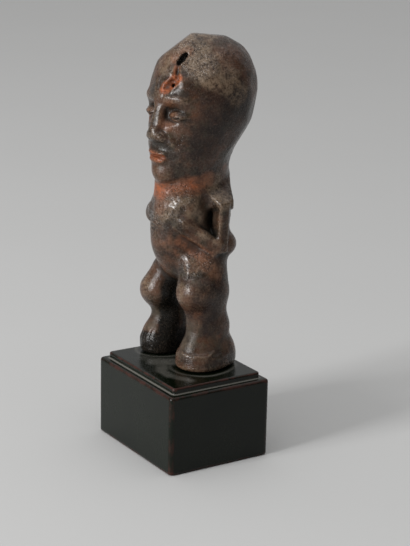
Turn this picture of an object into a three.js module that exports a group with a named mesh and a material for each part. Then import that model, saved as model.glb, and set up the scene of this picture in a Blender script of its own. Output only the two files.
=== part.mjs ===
// A carved wooden figure standing on its own black plinth.
// Millimetres, +Z up. The origin is the centre of the plinth's underside, the figure looks along -Y
// and its left side is towards +X.
import * as THREE from 'three';
import { SimplifyModifier } from 'three/addons/modifiers/SimplifyModifier.js';

// Plinth: one block with a low platform set back from its edges
const PLINTH = {
  width: 73.5,
  depth: 59,
  blockHeight: 41.7,
  cornerRadius: 2.2,
  edgeRound: 1.5,
  platformRise: 3.3,
  platformInset: 3.6,
  platformCorner: 1.8,
  platformRound: 0.9,
  cornerSteps: 4,
  edgeSteps: 3,
};

// Where the figure's own frame stands on the plinth, and the hair's breadth under its soles
const STAND = { x: -5.5, y: 8.4, gap: 0.3 };

// Landmarks in the figure's own frame: x to its left, y to its back, z up from the soles.
// A ball is [centre, half sizes] and a limb is [start, end, radii at both, flattening].
const HEAD = {
  axis: [0, 3],
  turnDeg: 8,
  skull: [[0, 3.7, 138], [23, 28.7, 28.4]],
  forehead: [[-2, -1.5, 148.5], [16, 18, 20.6]],
  crown: [[0, 9.8, 146.6], [19.5, 21.2, 20.8]],
  nape: [[0, 5, 127], [0, 4.2, 99], [21, 10.8], [0.95, 1, 1]],
  jaw: [[0, -5.5, 115], [17.5, 20.5, 25]],
  jawFloor: 95.5,
};
// Flats left by the adze on the cranium, each [a point on it, its outward lean]
const FLATS = [
  [[-10.4, -11.2, 159], [-0.42, -0.47, 0.78]],
  [[-5.6, -1, 169], [-0.07, 0.13, 0.99]],
  [[4.4, 14.3, 167.8], [0.15, 0.45, 0.88]],
  [[14.2, -9.4, 155.7], [0.7, -0.4, 0.55]],
  [[20.2, 4, 152], [0.92, -0.02, 0.38]],
];
const FACE = {
  brow: [[7.2, -18, 139], [8, 4.6, 2.6]],
  socket: [[9.8, -27, 132], [9.6, 7.6, 6.4]],
  eye: { at: [9.4, -17, 130.8], size: [7.9, 7.6, 7.9], rise: 4.4 },
  slit: {
    at: [9.4, -22, 144.2], size: [14.3, 16, 14.3], half: 0.8,
    within: [[9.4, -23.6, 130.4], [6.2, 2.6, 3]],
  },
  nose: [[0, -22.2, 137], [0, -26.2, 121.6], [2.1, 3.6]],
  wing: [[3.7, -25.2, 120.2], [2.7, 3.2, 2.4]],
  upperLip: [[0, -24.4, 112], [6.6, 2.6, 1.9]],
  lowerLip: [[0, -24.2, 108.4], [6, 2.7, 2]],
  parting: [[0, -27.3, 110.2], [6.4, 2.4, 0.7]],
  chin: [[0, -19.5, 101.5], [7, 6.5, 6]],
};
// Breaks in the wood, each a limb that is taken out and the rounding of its edge
const DAMAGE = [
  { gap: [[8.6, -20.6, 149.4], [5.2, -24.3, 144.8], [1.9, 2.3]], edge: 1 },
  { gap: [[5.6, -11.9, 159.7], [5.3, -15, 156.2], [1.7, 2.1]], edge: 0.8 },
  { gap: [[7.1, -22, 146.7], [5.4, -18.8, 145], [1.5, 0.9]], edge: 0.8 },
  { gap: [[6.3, -17.6, 156.2], [8.3, -20.1, 150], [0.9, 1.3]], edge: 0.8 },
  { gap: [[3.6, -24.8, 141.6], [2.8, -25.2, 132.5], [0.7, 0.35]], edge: 0.5 },
];
const TORSO = {
  neck: [[0, -1.6, 101], [0, -1.3, 80], [19.2, 20.5], [0.78, 1.03, 1]],
  belly: [[0, -2.8, 67], [15.5, 21, 23]],
  hips: [[0, -1.3, 54], [19, 14.6, 12.5]],
  buttock: [[10, 9, 62.6], [9, 9.2, 7.6]],
  breast: [[10, -10.5, 80.5], [7.8, 7.6, 10]],
  slot: [[20.6, 2.6, 77.4], [8.4, 5.6, 7.6]],
};
// The left shoulder's five planes, each as [a point on it, its outward lean]
const SHOULDER = [
  [[15.3, -2.5, 92.3], [0.57, 0.03, 0.82]],
  [[15.3, -2.5, 92.3], [0.42, -0.9, -0.1]],
  [[21.5, 10.2, 87], [0.38, 0.92, 0]],
  [[23.2, 1.7, 86], [0.98, 0.17, 0]],
  [[23.2, 1.7, 85], [0.3, -0.23, -1]],
];
const ARM = {
  left: {
    armpit: [18.9, 4.2, 86], elbow: [18.8, 4, 61.5], bend: [18.9, 2.4, 62.5],
    wrist: [10.2, -16.2, 76.6], hand: [5, -17.8, 79.5],
  },
  right: {
    armpit: [-18, 3, 86], elbow: [-19.2, -2, 64.5], bend: [-19, -3.2, 65],
    wrist: [-13.6, -13.6, 76.5], hand: [-7, -18, 79],
  },
  lobe: [[-14, -14.4, 76.6], [4.8, 5.2, 6.2]],
  upper: [[4.4, 2.9], [3.7, 3.1]],
  fore: [[3.8, 4.4], [3.4, 3.7]],
  round: 1.5,
  end: 1.2,
  palm: [6.5, 3.8, 5.2],
};
const LEG = {
  left: {
    hip: [12, -1.5, 55], knee: [15, -3, 39.5], calf: [15.5, 0, 21], ankle: [16, 0.5, 10],
    kneecap: [17, -7.8, 41], instep: [16, -5.3, 6], heel: [15, 6, 4],
    sole: { at: [16, -5.4], half: 13.1, front: 12.4, back: 18.4, lean: 0.12 },
  },
  right: {
    hip: [-10.7, -0.3, 52], knee: [-16.6, -5.9, 33.9], calf: [-16.2, -1.5, 21], ankle: [-16.5, -1.5, 10],
    kneecap: [-14.5, -10.2, 35], instep: [-16.5, -8.7, 6.5], heel: [-15, 5, 3],
    sole: { at: [-17.4, -7], half: 10.6, front: 12.2, back: 17, lean: 0 },
  },
  flat: [1, 1.35, 1],
  radii: { hip: 9.6, knee: 10.4, shin: 9.2, calf: 8.1, ankle: 8.8 },
  kneecapSize: [9.2, 9.6, 9],
  instepSize: [9.5, 11.2, 12],
  heelSize: [9, 10.3, 12],
  soleTop: 9,
  soleRound: 2.4,
};
// How far the fillet or the rounding reaches where a part meets the rest
const FILLET = {
  skull: 8, forehead: 4, jawFloor: 6, flat: 1.2, chin: 4, brow: 3, socket: 2.2, eye: 0.8, eyeEdge: 1,
  slit: 0.3, nose: 2.5, wing: 1.5, lip: 1.5, parting: 0.8,
  belly: 6, hips: 5, buttock: 3.5, breast: 4, slot: 3, facet: 1.2, shoulder: 2.5, neck: 2.5,
  elbow: 1.6, palm: 2.5, arm: 1.5, knee: 3, kneecap: 3, ankle: 3, instep: 5, heel: 4, sole: 2.2,
  base: 1.5, legs: 2, hip: 2.6,
};
// The grid that the carved skin is built on, and how its vertices are evened out and settled
const GRID = { low: [-35, -36, -3], high: [35, 38, 173], cell: 1.3 };
const SETTLE = { rounds: 2, passes: 2, step: 0.3, reach: 0.52, leastSlope: 0.05 };
const FIGURE_TRIANGLES = 9400;

const mix = (a, b, t) => a + (b - a) * t;
const clamp = (v, low, high) => Math.min(Math.max(v, low), high);
const radians = (degrees) => (degrees * Math.PI) / 180;
const minus = (a, b) => a.map((v, i) => v - b[i]);
const dot = (a, b) => a[0] * b[0] + a[1] * b[1] + a[2] * b[2];
const cross = (a, b) => [a[1] * b[2] - a[2] * b[1], a[2] * b[0] - a[0] * b[2], a[0] * b[1] - a[1] * b[0]];
const unit = (a) => a.map((v) => v / Math.hypot(...a));
const folded = (p) => [Math.abs(p[0]), p[1], p[2]];

// Joins two forms with a fillet of the given reach
function join(a, b, reach) {
  const near = Math.max(reach - Math.abs(a - b), 0);
  return Math.min(a, b) - (near * near) / (4 * reach);
}

// Takes the second form out of the first, with a rounded edge
const cut = (a, b, reach) => -join(-a, b, reach);

function ball(p, at, size) {
  const [x, y, z] = minus(p, at);
  const near = Math.hypot(x / size[0], y / size[1], z / size[2]);
  const slope = Math.hypot(x / size[0] ** 2, y / size[1] ** 2, z / size[2] ** 2);
  return slope > 0 ? (near * (near - 1)) / slope : -Math.min(...size);
}

// How far a point is past a plane
const beyond = (p, through, lean) => dot(minus(p, through), unit(lean));

// The distance to a rounded solid, from how far a point is past each of its faces
function rounded(past, round) {
  const outside = Math.hypot(...past.map((v) => Math.max(v, 0)));
  return outside + Math.min(Math.max(...past), 0) - round;
}

function limb(p, from, to, radii, flat = [1, 1, 1]) {
  const along = minus(to, from);
  const off = minus(p, from);
  const t = clamp(dot(off, along) / dot(along, along), 0, 1);
  return Math.hypot(...off.map((v, i) => (v - t * along[i]) / flat[i])) - mix(radii[0], radii[1], t);
}

// A tapered bar of rounded rectangular section, past both ends: halves are [wide, high] at each
function bar(p, from, to, up, halves, round, end) {
  const length = Math.hypot(...minus(to, from));
  const axis = unit(minus(to, from));
  const side = unit(cross(axis, up));
  const off = minus(p, from);
  const along = dot(off, axis);
  const t = clamp(along / length, 0, 1);
  return rounded([
    Math.abs(along - length / 2) - length / 2 - end + round,
    Math.abs(dot(off, side)) - mix(halves[0][0], halves[1][0], t) + round,
    Math.abs(dot(off, cross(side, axis))) - mix(halves[0][1], halves[1][1], t) + round,
  ], round);
}

// A low slab on an egg-shaped outline, whose side leans in towards its top
function slab(p, { at, half, front, back, lean }, top, round) {
  const x = p[0] - at[0];
  const y = p[1] - at[1];
  const deep = y < 0 ? front : back;
  const near = Math.hypot(x / half, y / deep);
  const slope = Math.max(Math.hypot(x / half ** 2, y / deep ** 2), 1e-6);
  return rounded([
    (near * (near - 1)) / slope + lean * p[2] + round,
    Math.abs(p[2] - top / 2) - top / 2 + round,
  ], round);
}

// An almond: where two equal balls, one above the other, overlap
function eye(q, { at, size, rise }) {
  const lower = ball(q, [at[0], at[1], at[2] - rise], size);
  const upper = ball(q, [at[0], at[1], at[2] + rise], size);
  return cut(lower, -upper, FILLET.eyeEdge);
}

// The parting of the lids: a thin bowed slit across the almond
function slit(q, { at, size, half, within }) {
  return cut(Math.abs(ball(q, at, size)) - half, -ball(q, ...within), FILLET.slit);
}

function face(p, start) {
  const q = folded(p);
  let f = join(start, ball(q, ...FACE.brow), FILLET.brow);
  f = cut(f, ball(q, ...FACE.socket), FILLET.socket);
  f = join(f, eye(q, FACE.eye), FILLET.eye);
  f = cut(f, slit(q, FACE.slit), FILLET.slit);
  f = join(f, limb(p, ...FACE.nose), FILLET.nose);
  f = join(f, ball(q, ...FACE.wing), FILLET.wing);
  f = join(f, ball(p, ...FACE.upperLip), FILLET.lip);
  f = join(f, ball(p, ...FACE.lowerLip), FILLET.lip);
  return cut(f, ball(p, ...FACE.parting), FILLET.parting);
}

function head(world) {
  const turn = radians(HEAD.turnDeg);
  const x = world[0] - HEAD.axis[0];
  const y = world[1] - HEAD.axis[1];
  const p = [
    HEAD.axis[0] + x * Math.cos(turn) + y * Math.sin(turn),
    HEAD.axis[1] - x * Math.sin(turn) + y * Math.cos(turn),
    world[2],
  ];
  let f = join(ball(p, ...HEAD.skull), ball(p, ...HEAD.crown), FILLET.skull);
  f = join(f, ball(p, ...HEAD.forehead), FILLET.forehead);
  f = join(f, limb(p, ...HEAD.nape), FILLET.skull);
  f = join(f, cut(ball(p, ...HEAD.jaw), p[2] - HEAD.jawFloor, FILLET.jawFloor), FILLET.skull);
  f = join(f, ball(p, ...FACE.chin), FILLET.chin);
  for (const [through, lean] of FLATS) f = cut(f, -beyond(world, through, lean), FILLET.flat);
  f = face(p, f);
  for (const { gap, edge } of DAMAGE) f = cut(f, limb(p, ...gap), edge);
  return f;
}

function torso(p) {
  const q = folded(p);
  let f = limb(p, ...TORSO.neck);
  f = join(f, ball(p, ...TORSO.belly), FILLET.belly);
  f = join(f, ball(p, ...TORSO.hips), FILLET.hips);
  f = join(f, ball(q, ...TORSO.buttock), FILLET.buttock);
  f = join(f, ball(q, ...TORSO.breast), FILLET.breast);
  return cut(f, ball(q, ...TORSO.slot), FILLET.slot);
}

// The space behind all of the shoulder's planes
function shoulder(p) {
  const q = folded(p);
  return SHOULDER
    .map(([through, lean]) => beyond(q, through, lean))
    .reduce((f, face) => cut(f, -face, FILLET.facet));
}

function arm(p, side) {
  let f = bar(p, side.armpit, side.elbow, [0, 1, 0], ARM.upper, ARM.round, ARM.end);
  f = join(f, bar(p, side.bend, side.wrist, [0, 0, 1], ARM.fore, ARM.round, ARM.end), FILLET.elbow);
  return join(f, ball(p, side.hand, ARM.palm), FILLET.palm);
}

function leg(p, side) {
  const { hip, knee, shin, calf, ankle } = LEG.radii;
  let f = limb(p, side.hip, side.knee, [hip, knee], LEG.flat);
  f = join(f, limb(p, side.knee, side.calf, [shin, calf], LEG.flat), FILLET.knee);
  f = join(f, limb(p, side.calf, side.ankle, [calf, ankle], LEG.flat), FILLET.ankle);
  f = join(f, ball(p, side.kneecap, LEG.kneecapSize), FILLET.kneecap);
  f = join(f, ball(p, side.instep, LEG.instepSize), FILLET.instep);
  f = join(f, ball(p, side.heel, LEG.heelSize), FILLET.heel);
  f = join(f, slab(p, side.sole, LEG.soleTop, LEG.soleRound), FILLET.sole);
  return cut(f, p[2], FILLET.base);
}

function figureForm(p) {
  let f = join(torso(p), shoulder(p), FILLET.shoulder);
  f = join(f, head(p), FILLET.neck);
  f = join(f, join(leg(p, LEG.left), leg(p, LEG.right), FILLET.legs), FILLET.hip);
  f = join(f, arm(p, ARM.left), FILLET.arm);
  f = join(f, ball(p, ...ARM.lobe), FILLET.arm);
  return join(f, arm(p, ARM.right), FILLET.arm);
}

// Moves a point onto the surface of a form, along its slope
function settle(form, start) {
  const { passes, step, reach, leastSlope } = SETTLE;
  let p = start;
  for (let pass = 0; pass < passes; pass++) {
    const slope = p.map((v, i) => {
      const ahead = p.map((w, j) => (i === j ? w + step : w));
      const behind = p.map((w, j) => (i === j ? w - step : w));
      return (form(ahead) - form(behind)) / (2 * step);
    });
    const stride = clamp(form(p) / Math.max(dot(slope, slope), leastSlope), -reach, reach);
    p = p.map((v, i) => v - stride * slope[i]);
  }
  return p;
}

// Where four grid points in a square alternate between wood and air, fills the one nearest to wood,
// so that two sheets of skin never share an edge
function closePinches(values, each, index, stride) {
  let changed = true;
  while (changed) {
    changed = false;
    each(0, 1, (i, j, k) => {
      const here = index(i, j, k);
      for (let m = 0; m < 3; m++) {
        const u = stride[m];
        const w = stride[(m + 1) % 3];
        const square = [here, here + u, here + u + w, here + w];
        const [a, b, c, d] = square.map((v) => values[v] < 0);
        if (a !== c || b !== d || a === b) continue;
        const air = square.filter((v) => values[v] >= 0);
        const nearest = values[air[0]] < values[air[1]] ? air[0] : air[1];
        values[nearest] = -1e-3;
        changed = true;
      }
    });
  }
}

// Builds a closed skin over a form, with one vertex in each grid cell that the surface crosses
function skin(form, { low, high, cell }) {
  const count = low.map((v, i) => Math.ceil((high[i] - v) / cell) + 1);
  const stride = [1, count[0], count[0] * count[1]];
  const index = (i, j, k) => i * stride[0] + j * stride[1] + k * stride[2];
  const corner = (i, j, k) => [low[0] + i * cell, low[1] + j * cell, low[2] + k * cell];
  const values = new Float64Array(count[0] * count[1] * count[2]);
  const each = (first, last, visit) => {
    for (let k = first; k < count[2] - last; k++) {
      for (let j = first; j < count[1] - last; j++) {
        for (let i = first; i < count[0] - last; i++) visit(i, j, k);
      }
    }
  };
  each(0, 0, (i, j, k) => {
    values[index(i, j, k)] = form(corner(i, j, k));
  });
  closePinches(values, each, index, stride);

  const cube = [0, 1, 2, 3, 4, 5, 6, 7].map((c) => [c & 1, (c >> 1) & 1, (c >> 2) & 1]);
  const vertexOf = new Map();
  const points = [];
  each(0, 1, (i, j, k) => {
    const v = cube.map((c) => values[index(i + c[0], j + c[1], k + c[2])]);
    const crossings = [];
    for (let a = 0; a < 8; a++) {
      for (const bit of [1, 2, 4]) {
        const b = a | bit;
        if (b === a || v[a] < 0 === v[b] < 0) continue;
        const t = v[a] / (v[a] - v[b]);
        crossings.push(cube[a].map((w, m) => mix(w, cube[b][m], t)));
      }
    }
    if (crossings.length === 0) return;
    const base = corner(i, j, k);
    vertexOf.set(index(i, j, k), points.length);
    points.push(base.map((w, m) => {
      const total = crossings.reduce((sum, c) => sum + c[m], 0);
      return w + (cell * total) / crossings.length;
    }));
  });

  const quads = [];
  each(1, 1, (i, j, k) => {
    const here = index(i, j, k);
    for (let m = 0; m < 3; m++) {
      if (values[here] < 0 === values[here + stride[m]] < 0) continue;
      const u = stride[(m + 1) % 3];
      const w = stride[(m + 2) % 3];
      const quad = [here - u - w, here - w, here, here - u].map((c) => vertexOf.get(c));
      if (values[here] >= 0) quad.reverse();
      quads.push(quad);
    }
  });
  return { points, quads };
}

// Evens out the spacing of a skin's vertices, and keeps them on the form
function even(form, { points, quads }) {
  for (let round = 0; round < SETTLE.rounds; round++) {
    const sums = points.map(() => [0, 0, 0, 0]);
    for (const quad of quads) {
      quad.forEach((v, i) => {
        const next = points[quad[(i + 1) % 4]];
        const sum = sums[v];
        sum[0] += next[0];
        sum[1] += next[1];
        sum[2] += next[2];
        sum[3] += 1;
      });
    }
    sums.forEach((sum, v) => {
      const middle = points[v].map((w, i) => mix(w, sum[i] / sum[3], 0.5));
      points[v] = settle(form, middle);
    });
  }
}

function geometryOf(points, faces) {
  const geometry = new THREE.BufferGeometry();
  geometry.setAttribute('position', new THREE.Float32BufferAttribute(points, 3));
  geometry.setIndex(faces);
  return geometry;
}

// Splits each four-sided face along its shorter diagonal
function solidFromQuads({ points, quads }) {
  const far = (a, b) => Math.hypot(...minus(points[a], points[b]));
  const faces = quads.flatMap(([a, b, c, d]) => (
    far(a, c) < far(b, d) ? [a, b, c, a, c, d] : [a, b, d, b, c, d]
  ));
  return geometryOf(points.flat(), faces);
}

// Stacks rounded rectangles, given as [half width, half depth, corner radius, z], into a closed solid
function stack(rings, cornerSteps) {
  const points = [];
  const faces = [];
  const around = 4 * (cornerSteps + 1);
  for (const [a, b, r, z] of rings) {
    for (let quarter = 0; quarter < 4; quarter++) {
      const sx = quarter === 0 || quarter === 3 ? 1 : -1;
      const sy = quarter < 2 ? 1 : -1;
      for (let i = 0; i <= cornerSteps; i++) {
        const turn = ((quarter + i / cornerSteps) * Math.PI) / 2;
        points.push(sx * (a - r) + r * Math.cos(turn), sy * (b - r) + r * Math.sin(turn), z);
      }
    }
  }
  for (let k = 0; k < rings.length - 1; k++) {
    for (let i = 0; i < around; i++) {
      const a = k * around + i;
      const b = k * around + ((i + 1) % around);
      faces.push(a, b, b + around, a, b + around, a + around);
    }
  }
  const last = (rings.length - 1) * around;
  for (let i = 1; i < around - 1; i++) {
    faces.push(0, i + 1, i);
    faces.push(last, last + i, last + i + 1);
  }
  return geometryOf(points, faces);
}

// The rings of a rounded edge between the sides and the face at z, which looks up (1) or down (-1)
function roundedEdge(a, b, corner, round, z, way) {
  const rings = [];
  for (let i = 0; i <= PLINTH.edgeSteps; i++) {
    const turn = ((i / PLINTH.edgeSteps) * Math.PI) / 2;
    const inset = round * (1 - Math.cos(turn));
    rings.push([a - inset, b - inset, corner - inset / 2, z - way * round * (1 - Math.sin(turn))]);
  }
  return way > 0 ? rings : rings.reverse();
}

function plinthGeometry() {
  const { width, depth, blockHeight, cornerRadius, edgeRound } = PLINTH;
  const { platformRise, platformInset, platformCorner, platformRound } = PLINTH;
  const a = width / 2;
  const b = depth / 2;
  const c = a - platformInset;
  const d = b - platformInset;
  return stack([
    ...roundedEdge(a, b, cornerRadius, edgeRound, 0, -1),
    ...roundedEdge(a, b, cornerRadius, edgeRound, blockHeight, 1),
    [c, d, platformCorner, blockHeight],
    ...roundedEdge(c, d, platformCorner, platformRound, blockHeight + platformRise, 1),
  ], PLINTH.cornerSteps);
}

// Merges the flatter stretches of a solid into fewer, larger triangles
async function thinned(geometry, triangles) {
  const spare = (geometry.index.count / 3 - triangles) / 2;
  return new SimplifyModifier().modify(geometry, Math.round(spare));
}

function figureGeometry() {
  const shell = skin(figureForm, GRID);
  even(figureForm, shell);
  return thinned(solidFromQuads(shell), FIGURE_TRIANGLES);
}

const model = new THREE.Group();

const wood = new THREE.MeshStandardMaterial({ color: 0x4a3a32, roughness: 0.5, metalness: 0 });
const lacquer = new THREE.MeshStandardMaterial({ color: 0x14150f, roughness: 0.3, metalness: 0 });

const plinth = new THREE.Mesh(plinthGeometry(), lacquer);
plinth.name = 'plinth';
model.add(plinth);

const figure = new THREE.Mesh(await figureGeometry(), wood);
figure.name = 'figure';
figure.position.set(STAND.x, STAND.y, PLINTH.blockHeight + PLINTH.platformRise + STAND.gap);
model.add(figure);

export default model;
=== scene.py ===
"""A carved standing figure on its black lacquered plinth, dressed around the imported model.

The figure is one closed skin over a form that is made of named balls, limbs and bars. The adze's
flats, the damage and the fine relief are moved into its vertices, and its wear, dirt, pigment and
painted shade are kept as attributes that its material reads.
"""

import math
from functools import reduce

import bpy
import numpy as np
from bpy.props import FloatProperty, FloatVectorProperty, IntProperty
from mathutils import Matrix, Vector


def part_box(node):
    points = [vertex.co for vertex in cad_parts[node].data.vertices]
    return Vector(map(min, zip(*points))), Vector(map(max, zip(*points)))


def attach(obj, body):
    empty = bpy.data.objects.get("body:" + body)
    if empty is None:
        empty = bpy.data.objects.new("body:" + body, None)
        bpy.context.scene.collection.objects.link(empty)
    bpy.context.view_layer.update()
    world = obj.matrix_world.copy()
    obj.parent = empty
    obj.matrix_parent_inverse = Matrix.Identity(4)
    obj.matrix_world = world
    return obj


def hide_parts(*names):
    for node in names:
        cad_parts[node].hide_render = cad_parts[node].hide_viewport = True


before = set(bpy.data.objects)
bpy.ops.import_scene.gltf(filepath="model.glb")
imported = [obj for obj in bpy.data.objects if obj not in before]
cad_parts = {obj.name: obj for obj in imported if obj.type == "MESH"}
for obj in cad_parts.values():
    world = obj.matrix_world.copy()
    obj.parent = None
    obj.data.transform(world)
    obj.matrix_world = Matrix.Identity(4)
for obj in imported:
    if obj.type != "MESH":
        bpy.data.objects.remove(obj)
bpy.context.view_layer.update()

bl_info = {
    "name": "Carved figure on a plinth",
    "version": (1, 0, 0),
    "blender": (4, 5, 0),
    "location": "View3D > Sidebar > Figure",
    "description": "Carves the standing figure, its lacquered plinth and a plain studio",
    "category": "Add Mesh",
}

MM = 0.001
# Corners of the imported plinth, in mm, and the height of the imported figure's underside, in m
PLINTH_LOW, PLINTH_HIGH = (np.array(corner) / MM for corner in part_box("plinth"))
FIGURE_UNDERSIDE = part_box("figure")[0][2]

# The figure's place on the plinth, and the box that its grid fills in its own frame, in mm
STAND = (-5.5, 8.4, 45.3)
GRID_LOW, GRID_HIGH = (-35, -37, -3), (35, 38, 174)
# Azimuth, elevation and roll in degrees, and the place in the camera's own axes, in mm
CAMERA_ANGLES = (57.22, 16.14, 1.18)
CAMERA_PLACE = (12.26, 89.26, 844)
# Where the lights come from, what they are aimed at in m, and which way the pale backdrop lies
KEY_FROM = (0.05, -0.96, 0.25)
TOP_FROM = (0.1, -0.25, 1)
CHEST = (0, 0, 0.12)
BEHIND = (-0.84, 0.54, 0)
# Distances in mm at which the skin looks ahead for other parts that shelter it, which sets the painted
# shade
SHELTER = (2.5, 5, 9, 14)

# Landmarks of the figure in its own frame, in mm: x to its left, y to its back, z up from the soles
HEAD = {
    "axis": (0, 3), "turn": 8,
    "skull": ((0, 3.7, 138), (23, 28.7, 28.4)),
    "forehead": ((-2, -1.5, 148.5), (16, 18, 20.6)),
    "crown": ((0, 9.8, 146.6), (19.5, 21.2, 20.8)),
    "nape": ((0, 5, 127), (0, 4.2, 99), (21, 10.8), (0.95, 1, 1)),
    "jaw": ((0, -5.5, 115), (17.5, 20.5, 25)), "jaw_floor": 95.5,
}
# Flats of the adze on the cranium, each a point on it and its normal
FLATS = (
    ((-10.4, -11.2, 159), (-0.42, -0.47, 0.78)),
    ((-5.6, -1, 169), (-0.07, 0.13, 0.99)),
    ((4.4, 14.3, 167.8), (0.15, 0.45, 0.88)),
    ((14.2, -9.4, 155.7), (0.7, -0.4, 0.55)),
    ((20.2, 4, 152), (0.92, -0.02, 0.38)),
)
FACE = {
    "brow": ((7.2, -18, 139), (8, 4.6, 2.6)),
    "socket": ((9.8, -27, 132), (9.6, 7.6, 6.4)),
    "eye": {"at": (9.4, -17, 130.8), "size": (7.9, 7.6, 7.9), "rise": 4.4},
    "lid": {
        "at": (9.4, -22, 144.2), "size": (14.3, 16, 14.3), "half": 0.5,
        "within": ((9.4, -23.6, 130.4), (6.2, 2.6, 3)),
    },
    "nose": ((0, -22.2, 137), (0, -26.2, 121.6), (2.1, 3.6)),
    "wing": ((3.7, -25.2, 120.2), (2.7, 3.2, 2.4)),
    "upper_lip": ((0, -24.4, 112), (6.6, 2.6, 1.9)),
    "lower_lip": ((0, -24.2, 108.4), (6, 2.7, 2)),
    "parting": ((0, -27.3, 110.2), (6.4, 2.4, 0.7)),
    "chin": ((0, -19.5, 101.5), (7, 6.5, 6)),
}
# Breaks on the forehead: start, end, radii and the rounding of the rim
DAMAGE = {
    "gouge": ((8.6, -20.6, 149.4), (5.2, -24.3, 144.8), (1.9, 2.3), 1),
    "upper": ((5.6, -11.9, 159.7), (5.3, -15, 156.2), (1.7, 2.1), 0.8),
    "lower": ((7.1, -22, 146.7), (5.4, -18.8, 145), (1.5, 0.9), 0.8),
    "channel": ((6.3, -17.6, 156.2), (8.3, -20.1, 150), (0.9, 1.3), 0.8),
    "crack": ((3.6, -24.8, 141.6), (2.8, -25.2, 132.5), (0.7, 0.35), 0.5),
}
TORSO = {
    "neck": ((0, -1.6, 101), (0, -1.3, 80), (19.2, 20.5), (0.78, 1.03, 1)),
    "belly": ((0, -2.8, 67), (15.5, 21, 23)),
    "hips": ((0, -1.3, 54), (19, 14.6, 12.5)),
    "buttock": ((10, 9, 62.6), (9, 9.2, 7.6)),
    "breast": ((10, -10.5, 80.5), (7.8, 7.6, 10)),
    "slot": ((20.6, 2.6, 77.4), (8.4, 5.6, 7.6)),
}
SHOULDER = {
    "slope": ((15.3, -2.5, 92.3), (0.57, 0.03, 0.82)),
    "front": ((15.3, -2.5, 92.3), (0.42, -0.9, -0.1)),
    "back": ((21.5, 10.2, 87), (0.38, 0.92, 0)),
    "outer": ((23.2, 1.7, 86), (0.98, 0.17, 0)),
    "under": ((23.2, 1.7, 85), (0.3, -0.23, -1)),
}
ARM = {
    "left": {"armpit": (18.9, 4.2, 86), "elbow": (18.8, 4, 61.5), "bend": (18.9, 2.4, 62.5),
             "wrist": (10.2, -16.2, 76.6), "hand": (5, -17.8, 79.5)},
    "right": {"armpit": (-18, 3, 86), "elbow": (-19.2, -2, 64.5), "wrist": (-13.6, -13.6, 76.5),
              "hand": (-7, -18, 79), "bend": (-19, -3.2, 65)},
    "upper": ((4.4, 2.9), (3.7, 3.1)), "fore": ((3.8, 4.4), (3.4, 3.7)), "round": 1.5, "end": 1.2,
    "palm": (6.5, 3.8, 5.2), "lobe": ((-14, -14.4, 76.6), (4.8, 5.2, 6.2)),
}
LEG = {
    "left": {"hip": (12, -1.5, 55), "knee": (15, -3, 39.5), "calf": (15.5, 0, 21), "ankle": (16, 0.5, 10),
             "kneecap": (17, -7.8, 41), "instep": (16, -5.3, 6), "heel": (15, 6, 4)},
    "right": {"hip": (-10.7, -0.3, 52), "knee": (-16.6, -5.9, 33.9), "calf": (-16.2, -1.5, 21),
              "ankle": (-16.5, -1.5, 10), "kneecap": (-14.5, -10.2, 35), "instep": (-16.5, -8.7, 6.5),
             "heel": (-15, 5, 3)},
    "flat": (1, 1.35, 1),
    "radii": {"hip": 9.6, "knee": 10.4, "shin": 9.2, "calf": 8.1, "ankle": 8.8},
    "kneecap_size": (9.2, 9.6, 9), "instep_size": (9.5, 11.2, 12), "heel_size": (9, 10.3, 12),
    "sole": {"left": ((16, -5.4), (13.1, 12.4, 18.4)), "right": ((-17.4, -7), (10.6, 12.2, 17))},
    "sole_top": 9, "sole_lean": {"left": 0.12, "right": 0}, "sole_round": 2.4,
}
# Reach of the fillet or rounding where a part meets the rest
FILLET = {
    "skull": 8, "forehead": 4, "flat": 1.2, "jaw_floor": 6, "chin": 4, "brow": 3, "socket": 2.2,
    "eye": 0.8, "eye_edge": 1, "lid": 0.3, "nose": 2.5, "wing": 1.5, "lip": 1.5, "parting": 0.8,
    "belly": 6, "hips": 5, "buttock": 3.5, "breast": 4, "slot": 3, "facet": 1.2, "shoulder": 2.5,
    "neck": 2.5, "elbow": 1.6, "palm": 2.5, "arm": 1.5, "knee": 3, "kneecap": 3, "ankle": 3,
    "instep": 5, "heel": 4, "sole": 2.2, "base": 1.5, "legs": 2, "hip": 2.6, "platform": 0.5, "chip": 0.3,
}


def mix(a, b, t):
    """From a to b, by the share t."""
    return a + (b - a) * t


# Forms: each value is about a point's distance from the surface in mm, below 0 inside
def join(a, b, reach):
    """Either form, with a fillet of the given reach where they meet."""
    near = np.maximum(reach - np.abs(a - b), 0)
    return np.minimum(a, b) - near * near / (4 * reach)


def cut(a, b, reach):
    """The first form without the second, with a rounding of the given reach along the rim."""
    return -join(-a, b, reach)


def ball(p, at, size):
    """An egg about a place, with its three half sizes."""
    near, slope = 1e-6, (1e-6 / min(size)) ** 2
    for v, w, s in zip(p, at, size):
        off = (v - w) / s
        near = near + off * off
        slope = slope + (off / s) ** 2
    near = np.sqrt(near)
    return near * (near - 1) / np.sqrt(slope)


def beyond(p, through, lean):
    """How far a point is past a plane, given by a point on it and its unit normal."""
    return sum((v - w) * n for v, w, n in zip(p, through, lean))


def limb(p, start, end, radii, flat=(1, 1, 1)):
    """A round-ended limb that tapers between two radii, stretched along the axes by flat."""
    along = [b - a for a, b in zip(start, end)]
    off = [v - a for v, a in zip(p, start)]
    reach = sum(a * a for a in along)
    t = np.clip(sum(o * a for o, a in zip(off, along)) / reach, 0, 1)
    away = sum(((o - t * a) / f) ** 2 for o, a, f in zip(off, along, flat))
    return np.sqrt(away) - mix(radii[0], radii[1], t)


def unit(v):
    v = np.asarray(v, float)
    return v / np.linalg.norm(v)


def within(limits, rounding):
    """The space inside all limits, each given as how far a point is past it, with rounded edges."""
    past = [v + rounding for v in limits]
    outside = np.sqrt(sum(np.maximum(v, 0) ** 2 for v in past))
    return outside + np.minimum(reduce(np.maximum, past), 0) - rounding


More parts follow.
